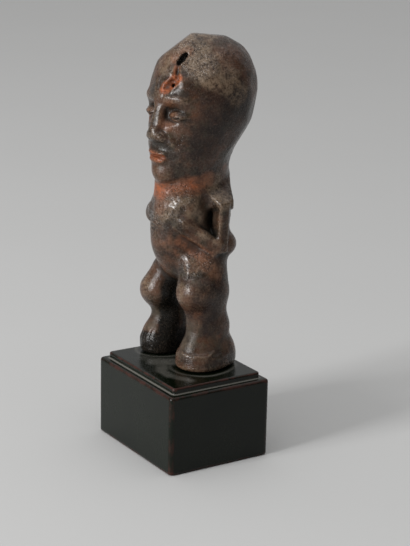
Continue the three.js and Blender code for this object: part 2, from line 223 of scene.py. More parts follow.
def bar(p, start, stop, up, halves, rounding, end):
    """A tapered bar of rounded rectangular section, a little past both ends; halves are (wide, high)."""
    axis = np.subtract(stop, start).astype(float)
    length = np.linalg.norm(axis)
    axis /= length
    side = unit(np.cross(axis, up))
    lift = np.cross(side, axis)
    off = [v - a for v, a in zip(p, start)]
    along, wide, high = (sum(o * d for o, d in zip(off, w)) for w in (axis, side, lift))
    t = np.clip(along / length, 0, 1)
    limits = [
        np.abs(along - length / 2) - length / 2 - end,
        np.abs(wide) - mix(halves[0][0], halves[1][0], t),
        np.abs(high) - mix(halves[0][1], halves[1][1], t),
    ]
    return within(limits, rounding)


def slab(p, at, size, top, lean, rounding):
    """A low slab on an egg-shaped outline: size is (half width, reach to the front, reach to the back)."""
    x, y = p[0] - at[0], p[1] - at[1]
    deep = np.where(y < 0, size[1], size[2])
    near = np.sqrt((x / size[0]) ** 2 + (y / deep) ** 2 + 1e-6)
    slope = np.sqrt((x / size[0] ** 2) ** 2 + (y / deep**2) ** 2 + 1e-9)
    flat = near * (near - 1) / slope + lean * p[2]
    tall = np.abs(p[2] - top / 2) - top / 2
    return within([flat, tall], rounding)


def head(world):
    turn = math.radians(HEAD["turn"])
    c, s = math.cos(turn), math.sin(turn)
    x, y = world[0] - HEAD["axis"][0], world[1] - HEAD["axis"][1]
    p = (HEAD["axis"][0] + x * c + y * s, HEAD["axis"][1] - x * s + y * c, world[2])
    q = (np.sqrt(p[0] ** 2 + 0.05), p[1], p[2])
    f = join(ball(p, *HEAD["skull"]), ball(p, *HEAD["crown"]), FILLET["skull"])
    f = join(f, ball(p, *HEAD["forehead"]), FILLET["forehead"])
    f = join(f, limb(p, *HEAD["nape"]), FILLET["skull"])
    jaw = cut(ball(p, *HEAD["jaw"]), p[2] - HEAD["jaw_floor"], FILLET["jaw_floor"])
    f = join(f, jaw, FILLET["skull"])
    f = join(f, ball(p, *FACE["chin"]), FILLET["chin"])
    for through, lean in FLATS:
        f = cut(f, -beyond(world, through, unit(lean)), FILLET["flat"])
    f = join(f, ball(q, *FACE["brow"]), FILLET["brow"])
    f = cut(f, ball(q, *FACE["socket"]), FILLET["socket"])
    f = join(f, eye(q), FILLET["eye"])
    f = cut(f, lid(q), FILLET["lid"])
    f = join(f, limb(p, *FACE["nose"]), FILLET["nose"])
    f = join(f, ball(q, *FACE["wing"]), FILLET["wing"])
    for lip in ("upper_lip", "lower_lip"):
        f = join(f, ball(p, *FACE[lip]), FILLET["lip"])
    f = cut(f, ball(p, *FACE["parting"]), FILLET["parting"])
    for *hole, reach in DAMAGE.values():
        f = cut(f, limb(p, *hole), reach)
    return f


def eye(q):
    """An almond: where two equal balls, one above the other, overlap."""
    x, y, z = FACE["eye"]["at"]
    rise, size = FACE["eye"]["rise"], FACE["eye"]["size"]
    return cut(ball(q, (x, y, z - rise), size), -ball(q, (x, y, z + rise), size), FILLET["eye_edge"])


def lid(q):
    """The parting of the lids: a thin bowed slit across the almond."""
    part = FACE["lid"]
    slit = np.abs(ball(q, part["at"], part["size"])) - part["half"]
    return cut(slit, -ball(q, *part["within"]), FILLET["lid"])


def torso(p):
    q = (np.abs(p[0]), p[1], p[2])
    f = limb(p, *TORSO["neck"])
    for place, v in (("belly", p), ("hips", p), ("buttock", q), ("breast", q)):
        f = join(f, ball(v, *TORSO[place]), FILLET[place])
    return cut(f, ball(q, *TORSO["slot"]), FILLET["slot"])


def shoulder(p):
    """The space behind five planes on each side."""
    q = (np.abs(p[0]), p[1], p[2])
    first, *others = (beyond(q, through, unit(lean)) for through, lean in SHOULDER.values())
    f = first
    for other in others:
        f = cut(f, -other, FILLET["facet"])
    return f


def arm(p, side):
    part = ARM[side]
    f = bar(p, part["armpit"], part["elbow"], (0, 1, 0), ARM["upper"], ARM["round"], ARM["end"])
    fore = bar(p, part["bend"], part["wrist"], (0, 0, 1), ARM["fore"], ARM["round"], ARM["end"])
    f = join(f, fore, FILLET["elbow"])
    return join(f, ball(p, part["hand"], ARM["palm"]), FILLET["palm"])


def leg(p, side):
    part, r, flat = LEG[side], LEG["radii"], LEG["flat"]
    f = limb(p, part["hip"], part["knee"], (r["hip"], r["knee"]), flat)
    f = join(f, limb(p, part["knee"], part["calf"], (r["shin"], r["calf"]), flat), FILLET["knee"])
    f = join(f, limb(p, part["calf"], part["ankle"], (r["calf"], r["ankle"]), flat), FILLET["ankle"])
    for place in ("kneecap", "instep", "heel"):
        f = join(f, ball(p, part[place], LEG[f"{place}_size"]), FILLET[place])
    sole = slab(p, *LEG["sole"][side], LEG["sole_top"], LEG["sole_lean"][side], LEG["sole_round"])
    return cut(join(f, sole, FILLET["sole"]), p[2], FILLET["base"])


def figure_form(p):
    f = join(torso(p), shoulder(p), FILLET["shoulder"])
    f = join(f, head(p), FILLET["neck"])
    f = join(f, join(leg(p, "left"), leg(p, "right"), FILLET["legs"]), FILLET["hip"])
    f = join(f, arm(p, "left"), FILLET["arm"])
    f = join(f, ball(p, *ARM["lobe"]), FILLET["arm"])
    return join(f, arm(p, "right"), FILLET["arm"])


# Making a closed skin over a form
CORNERS = [(i, j, k) for i in (0, 1) for j in (0, 1) for k in (0, 1)]


def close_pinches(values, filled=-1e-3):
    """Fills the squares whose corners alternate between wood and air, so no edge has four faces."""
    found = True
    while found:
        found = False
        for a, b in ((0, 1), (1, 2), (0, 2)):
            v = np.moveaxis(values, (a, b), (0, 1))
            corners = (v[:-1, :-1], v[1:, :-1], v[1:, 1:], v[:-1, 1:])
            solid = [c < 0 for c in corners]
            twist = (solid[0] == solid[2]) & (solid[1] == solid[3]) & (solid[0] != solid[1])
            for first in (0, 1):
                hit = twist & ~solid[first]
                if not hit.any():
                    continue
                found = True
                one, two = corners[first], corners[first + 2]
                one[hit & (one <= two)] = filled
                two[hit & (one > two)] = filled


def skin(form, low, high, cell):
    """A closed skin over a form: a vertex in each grid cell that the surface crosses, and quads."""
    axes = [np.arange(a, b + cell, cell, dtype=np.float32) for a, b in zip(low, high)]
    values = np.empty([len(a) for a in axes], np.float32)
    step = 16
    for i in range(0, len(axes[0]), step):
        values[i : i + step] = form(np.meshgrid(axes[0][i : i + step], axes[1], axes[2], indexing="ij"))
    close_pinches(values)
    solid = values < 0
    shape = [n - 1 for n in values.shape]
    count = np.zeros(shape, np.int8)
    for i, j, k in CORNERS:
        count += solid[i : i + shape[0], j : j + shape[1], k : k + shape[2]]
    cells = np.argwhere((count > 0) & (count < 8))
    number = np.full(shape, -1, np.int64)
    number[tuple(cells.T)] = np.arange(len(cells))
    at = {c: values[tuple((cells + c).T)] for c in CORNERS}
    total = np.zeros((len(cells), 3), np.float32)
    crossings = np.zeros(len(cells), np.float32)
    for a in CORNERS:
        for axis in range(3):
            if a[axis]:
                continue
            b = tuple(1 if m == axis else v for m, v in enumerate(a))
            crossed = (at[a] < 0) != (at[b] < 0)
            t = np.where(crossed, at[a] / np.where(crossed, at[a] - at[b], 1), 0)
            spot = np.array(a, np.float32)[None, :].repeat(len(cells), 0)
            spot[:, axis] = t
            total += np.where(crossed[:, None], spot, 0)
            crossings += crossed
    points = np.array(low) + cell * (cells + total / crossings[:, None])
    quads = []
    for axis in range(3):
        one, two = (axis + 1) % 3, (axis + 2) % 3
        ahead = np.moveaxis(solid, axis, 0)
        crossed = np.zeros(values.shape, bool)
        np.moveaxis(crossed, axis, 0)[:-1] = ahead[:-1] != ahead[1:]
        spots = np.argwhere(crossed)
        spots = spots[(spots[:, one] > 0) & (spots[:, two] > 0)]
        u, w = np.eye(3, dtype=int)[one], np.eye(3, dtype=int)[two]
        quad = np.stack([number[tuple((spots - o).T)] for o in (u + w, w, 0 * u, u)], 1)
        outward = solid[tuple(spots.T)]
        quads.append(np.where(outward[:, None], quad, quad[:, ::-1]))
    return points, np.concatenate(quads)


def neighbours_mean(values, quads):
    """The mean of the values at each vertex's neighbours."""
    start, end = quads.ravel(), np.roll(quads, -1, 1).ravel()
    n = len(values)
    columns = values.reshape(n, -1)
    total = np.stack([np.bincount(start, columns[end, m], n) for m in range(columns.shape[1])], 1)
    return (total / np.bincount(start, minlength=n)[:, None]).reshape(values.shape)


def slope_of(form, points, step=0.25):
    """The value of a form and its slope at each point."""
    slope = []
    for m in range(3):
        ends = [form([v + d * (i == m) for i, v in enumerate(points.T)]) for d in (step, -step)]
        slope.append((ends[0] - ends[1]) / (2 * step))
    return form(points.T), np.stack(slope, 1)


def settled(form, points, cell, reach=0.4, least_slope=0.05):
    """Moves each point onto the form's surface, in two steps of at most the reach, in cells."""
    for _ in range(2):
        f, slope = slope_of(form, points)
        steep = np.maximum((slope * slope).sum(1), least_slope)
        points = points - np.clip(f / steep, -cell * reach, cell * reach)[:, None] * slope
    return points


def carved(form, cell):
    """The figure's skin, evened out towards neighbours and settled on the form, twice over."""
    points, quads = skin(form, GRID_LOW, GRID_HIGH, cell)
    for _ in range(2):
        points = settled(form, mix(points, neighbours_mean(points, quads), 0.5), cell)
    return points, quads


# Cuts between fingers and toes: start, end, count, spread across, width and depth
CUTS = (
    ((6, -23, 76), (0, -25, 80), 4, (-1.2, 0, 7.5), 0.35, 0.3),
    ((-9, -22, 76), (-2, -25, 80), 4, (1.2, 0, 7.5), 0.35, 0.35),
    ((-17, -20, 7.5), (-17, -13, 9), 4, (14, 0, 0), 0.6, 0.35),
)
# The raised edge across the left foot, from point to point, and its width
RIDGE = ((17.7, -16.2, 9.3), (20.7, -15.6, 8.5), (24.3, -13.1, 8.3), (27.3, -7.8, 8.1), (26, -2.8, 10.1))
RIDGE_WIDTH = 0.9
# Heights over which the adze's flats deepen towards the head
CRANIUM_RISE = (98, 120)
# Heights over which the relief comes in above the soles
SOLE_RISE = (0.2, 1.6)
# The painted reflection line round the soles: its distance from them, its width and the rounding between
# them
REFLECTION_LINE = {"away": 2.2, "width": 0.9, "round": 8}
# Heights against the soles' over which the painted reflection line and the painted sheen come in on the
# plinth's top
PAINTED_LIGHT_RISE = (-0.6, -0.4)
# The plinth's chips: least and largest half size, how flat they are, and how much wider the pale patch is
CHIP = {"least": 0.35, "largest": 0.95, "flat": (1, 1, 0.7), "patch": 1.25}
# Shallow rises and hollows that sharpen the left forearm: start, end, radius and height
FOLDS = (
    ((19.5, -5, 69.5), (16, -15, 75.5), 4.5, 0.9),
    ((16, -15, 75.5), (10.5, -20, 79), 4, 0.7),
    ((19, -5, 71.5), (15.6, -15.6, 78.3), 2.2, 0.5),
    ((15.6, -15.6, 78.3), (10, -20, 81.4), 2.2, 0.6),
    ((17.6, -9, 79), (15.5, -15.5, 83.5), 4.5, -1.4),
    ((17.5, -9, 62.5), (12, -17.5, 68.5), 4, -0.7),
)
# Strokes of crust, pits, breakage, pigment, dust and painted shade in the figure's frame, and of the
# painted sheen on the plinth's top: start, end, radius, strength
STROKES = {
    "crust": (
        ((1, -22, 80), (11.7, -15.8, 89.8), 10, 1),
        ((-9, -19, 79), (-11, -16, 88), 9, 0.8),
        ((17.6, -12.8, 54), (20.1, -8.5, 57), 9, 0.9),
        ((-17, -10, 49), (-18, -7, 54), 9, 0.6),
        ((15.5, -6, 156), (8.1, -9.1, 163.4), 12, 0.8),
        ((17, 8, 157), (2, 20, 160), 12, 0.4),
    ),
    "pitted": (
        ((14, -13, 50), (19, -10, 46), 9, 1),
        ((-15, -13, 46), (-18, -10, 42), 8, 0.8),
        ((0, -23, 78), (10, -18, 80), 9, 0.7),
        ((15.5, -6, 156), (8.1, -9.1, 163.4), 10, 0.5),
    ),
    "broken": (
        ((9.3, -11, 161.5), (8.2, -16, 157), 4, 1),
        ((11.6, -19.1, 149.3), (8.4, -22.8, 144.1), 4, 1),
        ((8.8, -17.5, 156), (11.2, -19.5, 150), 3, 0.8),
    ),
    "ochre": (
        ((3, -20.6, 93), (14, -9.5, 95.5), 8, 1),
        ((13.8, -10.1, 96), (15.2, -1, 98.5), 6.5, 0.9),
        ((-12, -14, 94), (2, -21, 90), 8, 0.8),
        ((2.4, -21.8, 83), (5, -20.5, 90), 7, 0.55),
        ((13, -15, 67), (20, -5.5, 59.5), 6, 0.9),
        ((-12, -14.5, 68), (-18, -7, 60), 6, 0.7),
        ((8, -18, 66), (17, -11, 57), 9, 0.35),
        ((20.5, -7, 57), (25, 0, 51), 7, 0.5),
        ((12, -23.5, 135), (10, -23.5, 127), 7, 0.6),
        ((-5, -24.5, 134), (-6, -24.5, 128), 6, 0.5),
        ((9, -11, 162.5), (7.5, -16.5, 158.5), 5, 0.6),
        ((12.5, 10.2, 102), (5, 14, 101), 5, 0.5),
        ((19, -11, 22), (21, -9, 28), 6, 0.25),
        ((20, 6, 158), (16, 12, 162), 9, 0.35),
        ((24, 6, 12), (23, 12, 14), 7, 0.3),
    ),
    "orange": (
        ((-4, -21, 91), (3, -20.8, 91), 6, 0.6),
        ((3, -20.8, 93), (13.8, -10.1, 95.5), 5, 0.45),
        ((11.6, -19.1, 149.3), (7.4, -23.2, 144.5), 4.5, 1),
        ((9.5, -17.5, 155), (11.2, -19.5, 150), 2.5, 0.6),
        ((0, -26, 110), (7, -24.5, 110), 4.2, 1),
        ((15.3, -10, 65), (18, -6.5, 61.5), 3.5, 0.3),
        ((24.2, 2.5, 17.4), (24.2, 2.5, 18.6), 2.5, 0.35),
    ),
    "pale": (
        ((18.5, -4, 153), (9, -8, 163.5), 14, 1),
        ((8, -9, 165), (3, 2, 168), 11, 0.8),
        ((2, -20, 153), (0, -14, 161), 9, 0.5),
        ((21, 2, 151), (22.5, 10, 144), 12, 0.7),
        ((14.5, 2, 96), (23, 4, 89), 9, 0.8),
        ((18.5, -7, 70.5), (20.5, -1.5, 68), 4.5, 0.6),
        ((3, -22, 79), (11.7, -15.8, 89.8), 9, 0.6),
        ((16, -11.5, 88), (17.5, -10, 80), 8, 0.6),
        ((17.6, -12.8, 54), (20.1, -8.5, 57), 8, 0.45),
        ((20, -4, 57), (23, 0, 52), 8, 0.5),
        ((17, -16, 41), (18, -15, 44), 7, 0.5),
        ((-14, -18, 35), (-15, -18, 38), 7, 0.5),
    ),
    "dusty": (
        ((16, -12.5, 9), (19, -11, 22), 8, 0.7),
        ((-15, -17, 16), (-13.5, -14, 23), 6, 0.9),
        ((24, -6, 13), (24, 4, 14), 8, 0.5),
        ((15, -10, 88), (17, -3, 76), 8, 0.7),
    ),
    # Soot on the front of the right foot; on its inner side and between the legs these strokes are painted
    # shade
    "soot_and_shade": (
        ((-18, -20, 4), (-7.5, -14, 5), 11, 1),
        ((-7, -11, 6), (-6.4, -2, 7), 9, 1),
        ((-8, -9, 13), (-6.5, -9, 38), 9, 0.9),
        ((6.5, -6, 12), (7, -4, 40), 8, 0.8),
    ),
    # Violet stain below the left knee; the strokes on the sides of the head are painted shade
    "violet": (
        ((23, -7, 40), (22, -7, 25), 12, 1),
        ((26, 0, 40), (26, 3, 52), 8, 0.6),
        ((-20, -10, 76), (-22, -2, 66), 7, 0.5),
        ((21, -1, 138), (20, -6, 116), 15, 0.7),
        ((22, 12, 140), (20, 14, 120), 14, 0.7),
    ),
    # Painted sheen on the plinth's top between and in front of the feet
    "painted_sheen": (
        ((-8.7, -21.3, 0), (-0.8, -19.9, 0), 8, 0.6),
        ((-0.8, -19.9, 0), (2.3, -14.5, 0), 10, 0.85),
        ((5, -21, 0), (12.5, -25.5, 0), 6, 0.8),
        ((12.5, -25.5, 0), (21.1, -25.7, 0), 5, 0.8),
        ((21.1, -25.7, 0), (31.9, -20.7, 0), 4.5, 0.7),
    ),
}
# How ragged the strokes of a kind are, and the strengths between which they come in
FADES = {
    "ochre": (1.2, 0.05, 1), "orange": (1.2, 0.1, 0.9), "pale": (1.3, 0.1, 0.9), "soot_and_shade": (0.8, 0.15, 0.65),
    "violet": (1.2, 0.1, 0.8), "crust": (1.2, 0.1, 0.8), "dusty": (1.2, 0.1, 0.9),
}


def scattered(points, spacing, rng):
    """Indices of points that lie at least the given spacing apart."""
    free = np.ones(len(points), bool)
    chosen = []
    for i in rng.permutation(len(points)):
        if free[i]:
            chosen.append(i)
            free &= ((points - points[i]) ** 2).sum(1) > spacing * spacing
    return np.array(chosen)


def lattice(*place_and_seed):
    """A fixed random number from -1 to 1 for each point of a lattice."""
    n = 0
    for v, factor in zip(place_and_seed, (73856093, 19349663, 83492791, 15485863)):
        n = n ^ (v * factor)
    n = (n ^ (n >> 13)) * 1274126177
    n = (n ^ (n >> 16)) & 0xFFFF
    return n / 32767.5 - 1


def noise(points, size, seed):
    """Smooth noise from -1 to 1, of the given grain size; all places are moved to above 0 first."""
    scaled = points / size + 1000
    whole = np.floor(scaled).astype(np.int64)
    part = scaled - whole
    part = part * part * (3 - 2 * part)
    total = 0
    for corner in CORNERS:
        weight = np.prod([p if c else 1 - p for p, c in zip(part.T, corner)], 0)
        total = total + weight * lattice(*(whole + corner).T, seed)
    return total


def vertex_normals(points, quads):
    a, b, c, d = (points[corner] for corner in quads.T)
    face = np.cross(c - a, d - b)
    total = [np.bincount(quads.ravel(), np.repeat(v, 4), len(points)) for v in face.T]
    normals = np.stack(total, 1)
    return normals / (np.linalg.norm(normals, axis=1)[:, None] + 1e-12)


def smoothed(values, quads, passes):
    """Values at the vertices, evened out over a few rounds of neighbours."""
    for _ in range(passes):
        values = mix(values, neighbours_mean(values, quads), 0.6)
    return values


def hollowness(points, quads, passes):
    """How far each vertex lies below its surroundings: above 0 in a hollow, below 0 on a ridge."""
    flow = smoothed(points, quads, passes) - points
    return (flow * vertex_normals(points, quads)).sum(1)


def smooth_step(v, low, high):
    t = np.clip((v - low) / (high - low), 0, 1)
    return t * t * (3 - 2 * t)


# Fine relief of the figure, in its own frame
def adzed(points, quads, spacing, depth, rng, batch=4000):
    """How far the adze flattens the skin between its scattered marks, and along which normals."""
    normals = smoothed(vertex_normals(points, quads), quads, 8)
    normals /= np.linalg.norm(normals, axis=1)[:, None]
    marks = scattered(points, spacing, rng)
    strength = rng.uniform(0.2, 1, len(marks))
    heights = np.empty(len(points))
    for start in range(0, len(points), batch):
        part = slice(start, start + batch)
        away = ((points[part, None] - points[None, marks]) ** 2).sum(2)
        nearest = np.argpartition(away, 3, axis=1)[:, :3]
        far = np.sqrt(np.take_along_axis(away, nearest, 1))
        tilt = normals[marks[nearest]]
        drop = ((points[marks[nearest]] - points[part, None]) * tilt).sum(2)
        facing = np.maximum((tilt * normals[part, None]).sum(2), 0.5)
        move = np.clip(drop / facing, -depth, depth) * strength[nearest]
        share = 1 / (1 + np.exp(np.clip((far - far.min(1)[:, None]) * 2, 0, 30)))
        heights[part] = (move * share).sum(1) / share.sum(1)
    return normals, smoothed(heights, quads, 3)


def grooves(p, start, end, count, spread, width, depth, reach=6):
    """Parallel cuts from start towards end, as between fingers or toes: their depth at each point."""
    axis, across = unit(np.subtract(end, start)), unit(spread)
    length, breadth = (np.linalg.norm(v) for v in (np.subtract(end, start), spread))
    off = p - np.array(start)
    along, side, above = off @ axis, off @ across, off @ np.cross(axis, across)
    pitch = breadth / count
    place = (side / pitch + count / 2) % 1 - 0.5
    inside = smooth_step(along, -0.8, 0.6) * smooth_step(length + 0.8 - along, 0, 1.4)
    inside *= smooth_step(breadth / 2 + 0.4 - np.abs(side), 0, 0.8)
    near = smooth_step(reach - np.abs(above), 0, 2)
    return depth * inside * near * np.exp(-((place * pitch / width) ** 2))


def figure_relief(points, quads, settings):
    """Moves the skin by its tool marks, cuts, crust and pits."""
    rng = np.random.default_rng(settings.seed)
    normals, flats = adzed(points, quads, settings.adze_spacing / MM, settings.adze_depth / MM, rng)
    curved = np.abs(smoothed(hollowness(points, quads, 6), quads, 4))
    plain = 1 - smooth_step(curved, 0.05, 0.16)
    cranium = smooth_step(points[:, 2], *CRANIUM_RISE)
    move = flats * plain * mix(0.25, 1, cranium)
    bumps = 0.6 * noise(points, 3.2, 1) + 0.4 * noise(points, 1.6, 2)
    move += settings.crust_depth / MM * bumps * (0.35 + 0.65 * plain) * (1 + 1.8 * stroked(points, "crust"))
    pits = smooth_step(noise(points, 1.5, 3), 0.5, 0.95)
    move -= settings.pit_depth / MM * pits * (0.12 + 0.88 * stroked(points, "pitted"))
    move += settings.break_depth / MM * noise(points, 1.7, 4) * stroked(points, "broken")
    for start, end, count, spread, width, depth in CUTS:
        move -= grooves(points, start, end, count, spread, width, depth)
    for start, end, radius, height in FOLDS:
        move += height * np.exp(-2 * (distance(points, start, end) / radius) ** 2)
    away = np.min([distance(points, *ends) for ends in zip(RIDGE, RIDGE[1:])], 0)
    move += settings.ridge_height / MM * np.exp(-((away / RIDGE_WIDTH) ** 2))
    move *= smooth_step(points[:, 2], *SOLE_RISE)
    return points + normals * move[:, None]


def distance(points, start, end):
    """How far each point is from a straight stroke."""
    return limb(points.T, start, end, (0, 0))


def stroked(points, kind):
    """The strongest stroke of a kind at each point, which fades to 0 at its radius."""
    fades = (s * (1 - smooth_step(distance(points, a, b) / r, 0.3, 1)) for a, b, r, s in STROKES[kind])
    return np.max(list(fades), 0)


def spot(points, at, size):
    """1 at a place and 0 beyond its size, fading between."""
    near = np.sqrt((((points - np.array(at)) / np.array(size)) ** 2).sum(1))
    return 1 - smooth_step(near, 0.3, 1)


def sheltered(form, points, normals, reaches):
    """How far a form stands in front of each point: 0 in the open, to 1 where it is shut in."""
    total = 0
    for reach in reaches:
        ahead = points + normals * reach
        total = total + np.clip(1 - form(ahead.T) / reach, 0, 1)
    return total / len(reaches)


def figure_finish(points, quads):
    """The attributes that the wood's material reads, each from 0 to 1."""
    normals = smoothed(vertex_normals(points, quads), quads, 4)
    shut = sheltered(figure_form, points, normals, SHELTER)
    fine = hollowness(points, quads, 8)
    broad = hollowness(points, quads, 60)
    ragged = 0.16 * noise(points, 2.2, 5) + 0.1 * noise(points, 5, 6)
    finish = {
        "worn": smooth_step(-fine - 0.15 * broad + 0.12 * ragged, 0.04, 0.3),
        "dirt": smooth_step(fine + 0.25 * broad + 0.12 * ragged, 0.02, 0.32),
        # Painted shade: darker where other parts of the figure stand close in front of the skin
        "painted_shade": smooth_step(shut + 0.3 * ragged, 0.12, 0.6),
    }
    for kind, (raggedness, low, high) in FADES.items():
        finish[kind] = smooth_step(stroked(points, kind) + raggedness * ragged, low, high)
    return finish


# The plinth's form, in its own frame, with the chips along its edges
def block(p, half, floor, top, corner, rounding):
    """An upright box with rounded corners in plan and rounded edges above and below."""
    plan = within([np.abs(v) - h for v, h in zip(p, half)], corner)
    tall = np.abs(p[2] - (floor + top) / 2) - (top - floor) / 2
    return within([plan, tall], rounding)


def plinth_chips(settings):
    """Places and sizes of the chips, scattered along the block's four top edges."""
    rng = np.random.default_rng(settings.seed)
    low, high = PLINTH_LOW, PLINTH_HIGH
    ledge = high[2] - settings.platform_rise / MM
    chips = []
    for _ in range(settings.chips):
        t = rng.uniform(0.03, 0.97)
        size = rng.uniform(CHIP["least"], CHIP["largest"], 3) * CHIP["flat"]
        edge = rng.integers(4)
        if edge < 2:
            at = (mix(low[0], high[0], t), (low[1], high[1])[edge], ledge)
        else:
            at = ((low[0], high[0])[edge - 2], mix(low[1], high[1], t), ledge)
        chips.append((at, tuple(size)))
    return chips


def plinth_form(settings):
    """Returns the plinth's form as a function of a point in mm."""
    low, high = PLINTH_LOW, PLINTH_HIGH
    ledge = high[2] - settings.platform_rise / MM
    corner, rounding = settings.corner_round / MM, settings.edge_round / MM
    inner = high[:2] - settings.platform_inset / MM
    platform = settings.platform_round / MM
    chips = plinth_chips(settings)

    def form(p):
        f = block(p, high[:2], low[2], ledge, corner, rounding)
        step = block(p, inner, ledge - 2 * rounding, high[2], 2 * platform, platform)
        f = join(f, step, FILLET["platform"])
        for at, size in chips:
            f = cut(f, ball(p, at, size), FILLET["chip"])
        return f

    return form


def painted_reflection_line(points):
    """The painted reflection: a pale line that runs round both soles on the plinth's top, 1 on the line,
    fading to 0.
    """
    p = [points[:, m] - STAND[m] for m in range(2)] + [np.full(len(points), LEG["sole_top"] / 2)]
    soles = (slab(p, *sole, LEG["sole_top"], 0, LEG["sole_round"]) for sole in LEG["sole"].values())
    wander = 0.5 * noise(points, 7, 13)
    away = join(*soles, REFLECTION_LINE["round"]) + wander - REFLECTION_LINE["away"]
    return np.exp(-((away / REFLECTION_LINE["width"]) ** 2))


def plinth_finish(points, quads, chips):
    """The attributes that the lacquer's material reads, each from 0 to 1."""
    fine = hollowness(points, quads, 4)
    ragged = noise(points, 1.4, 11) * 0.6 + noise(points, 4.5, 12) * 0.9
    top = smooth_step(points[:, 2] - STAND[2], *PAINTED_LIGHT_RISE)
    # Painted reflection: a pale line round the soles
    line = painted_reflection_line(points) * top * (0.6 + 0.4 * noise(points, 9, 14))
    # Painted sheen on the plinth's top between the feet
    painted_sheen = stroked(points - np.array(STAND), "painted_sheen") ** 2 * top * (0.8 + 0.2 * ragged)
    return {
        "edge": smooth_step(-fine + 0.03 * ragged, 0.07, 0.15),
        # Dirt in the hollows, together with the painted reflection line and the painted sheen on the top
        "dirt": np.maximum(smooth_step(fine, 0.02, 0.15), np.maximum(line, painted_sheen)),
        "chip": np.max([spot(points, at, np.array(size) * CHIP["patch"]) for at, size in chips], 0),
    }


# Meshes
def add_object(name, data):
    """A new object, linked to the scene."""
    made = bpy.data.objects.new(name, data)
    bpy.context.scene.collection.objects.link(made)
    return made


def skin_object(name, points, quads, attributes, material):
    """A smooth-shaded mesh object of a skin, with its attributes; points are in metres."""
    mesh = bpy.data.meshes.new(name)
    mesh.vertices.add(len(points))
    mesh.vertices.foreach_set("co", points.astype(np.float32).ravel())
    mesh.loops.add(quads.size)
    mesh.loops.foreach_set("vertex_index", quads.astype(np.int32).ravel())
    mesh.polygons.add(len(quads))
    mesh.polygons.foreach_set("loop_start", np.arange(0, quads.size, 4, dtype=np.int32))
    mesh.polygons.foreach_set("use_smooth", np.ones(len(quads), bool))
    mesh.update(calc_edges=True)
    if mesh.validate():
        raise RuntimeError(f"the skin of {name} has faulty faces")
    for key, values in attributes.items():
        layer = mesh.attributes.new(key, "FLOAT", "POINT")
        layer.data.foreach_set("value", np.clip(values, 0, 1).astype(np.float32))
    mesh.materials.append(material)
    return add_object(name, mesh)


# Materials
class Value:
    """A number socket in a material, on which Python's operators add Math nodes."""

    def __init__(self, tree, socket):
        self.tree = tree
        self.socket = socket

    def __add__(self, other):
        return self.tree.math("ADD", self, other)

    def __sub__(self, other):
        return self.tree.math("SUBTRACT", self, other)

    def __rsub__(self, other):
        return self.tree.math("SUBTRACT", other, self)

    def __mul__(self, other):
        return self.tree.math("MULTIPLY", self, other)

    __radd__ = __add__
    __rmul__ = __mul__


class Tree:
    """A node tree, in which one method adds every kind of node."""

    def __init__(self, tree):
        self.tree = tree

    def feed(self, socket, value):
        """Links a value to an input, or sets the input to a constant."""
        if isinstance(value, Value):
            self.tree.links.new(value.socket, socket)
        else:
            socket.default_value = value

    def node(self, kind, settings, inputs, output=0):
        """Adds a node: its settings first, then its sockets' values or links; returns one output."""
        made = self.tree.nodes.new(kind)
        for key, value in settings.items():
            setattr(made, key, value)
        for key, value in inputs.items() if isinstance(inputs, dict) else enumerate(inputs):
            self.feed(made.inputs[key], value)
        return Value(self, made.outputs[output])

    def math(self, operation, *inputs):
        return self.node("ShaderNodeMath", {"operation": operation}, inputs)

    def band(self, value, low, high, start=0, end=1):
        """start below low, end above high, and a smooth ramp between them."""
        kind = {"interpolation_type": "SMOOTHSTEP"}
        inputs = {"Value": value, "From Min": low, "From Max": high, "To Min": start, "To Max": end}
        return self.node("ShaderNodeMapRange", kind, inputs, "Result")


class Finish(Tree):
    """One material's node tree."""

    def __init__(self, name):
        self.material = bpy.data.materials.new(name)
        self.material.use_nodes = True
        super().__init__(self.material.node_tree)
        self.shader = self.tree.nodes["Principled BSDF"]
        self.place = self.node("ShaderNodeTexCoord", {}, {}, "Object")

    def attribute(self, name):
        return self.node("ShaderNodeAttribute", {"attribute_name": name}, {}, "Fac")

    def noise(self, scale, detail, roughness, stretch=(1, 1, 1)):
        place = self.node("ShaderNodeMapping", {}, {"Vector": self.place, "Scale": stretch})
        inputs = {"Vector": place, "Scale": scale, "Detail": detail, "Roughness": roughness}
        return self.node("ShaderNodeTexNoise", {}, inputs, "Fac")

    def cells(self, scale):
        return self.node("ShaderNodeTexVoronoi", {}, {"Vector": self.place, "Scale": scale}, "Distance")

    def coats(self, colour, *layers):
        """A colour under layers of other colours, each given as its share and its colour."""
        for share, other in layers:
            colour = self.node("ShaderNodeMix", {"data_type": "RGBA"}, {0: share, 6: colour, 7: other}, 2)
        return colour

    def bump(self, height, distance, strength):
        inputs = {"Height": height, "Distance": distance, "Strength": strength}
        return self.node("ShaderNodeBump", {}, inputs, "Normal")

    def set(self, **sockets):
        """Sets or links the shader's own sockets, named with _ for a space."""
        for key, value in sockets.items():
            self.feed(self.shader.inputs[key.replace("_", " ")], value)
        return self.material


